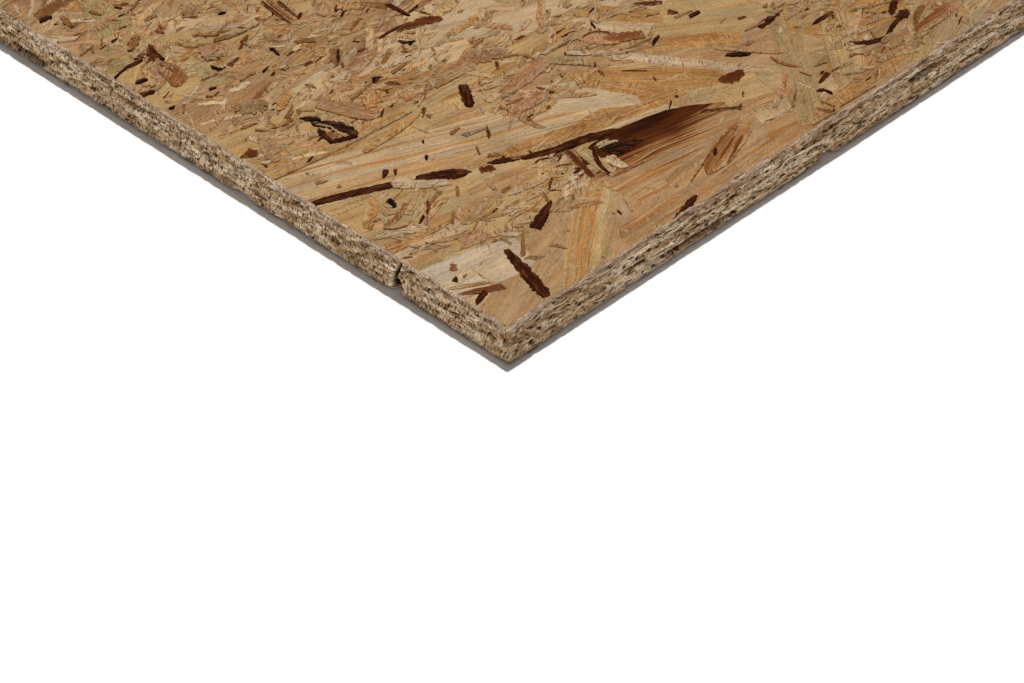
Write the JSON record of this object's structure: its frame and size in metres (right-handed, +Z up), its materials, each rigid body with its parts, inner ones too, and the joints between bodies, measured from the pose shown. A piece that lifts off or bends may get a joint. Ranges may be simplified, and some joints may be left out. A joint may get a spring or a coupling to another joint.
{
  "type": "oriented strand board panel",
  "caption": "Rectangular handy panel of oriented strand board: one pressed sheet of wood strands with four square sawn edges.",
  "frame": {"origin": "middle of the underside, on the surface that the panel lies on", "axes": "+X along the length, the way the face strands lie; +Y across the width; +Z up, through the thickness"},
  "size_m": [1.22, 0.61, 0.018],
  "materials": {
    "strand_board": "matte"
  },
  "bodies": {
    "root": {"board": "strand_board"}
  },
  "joints": []
}
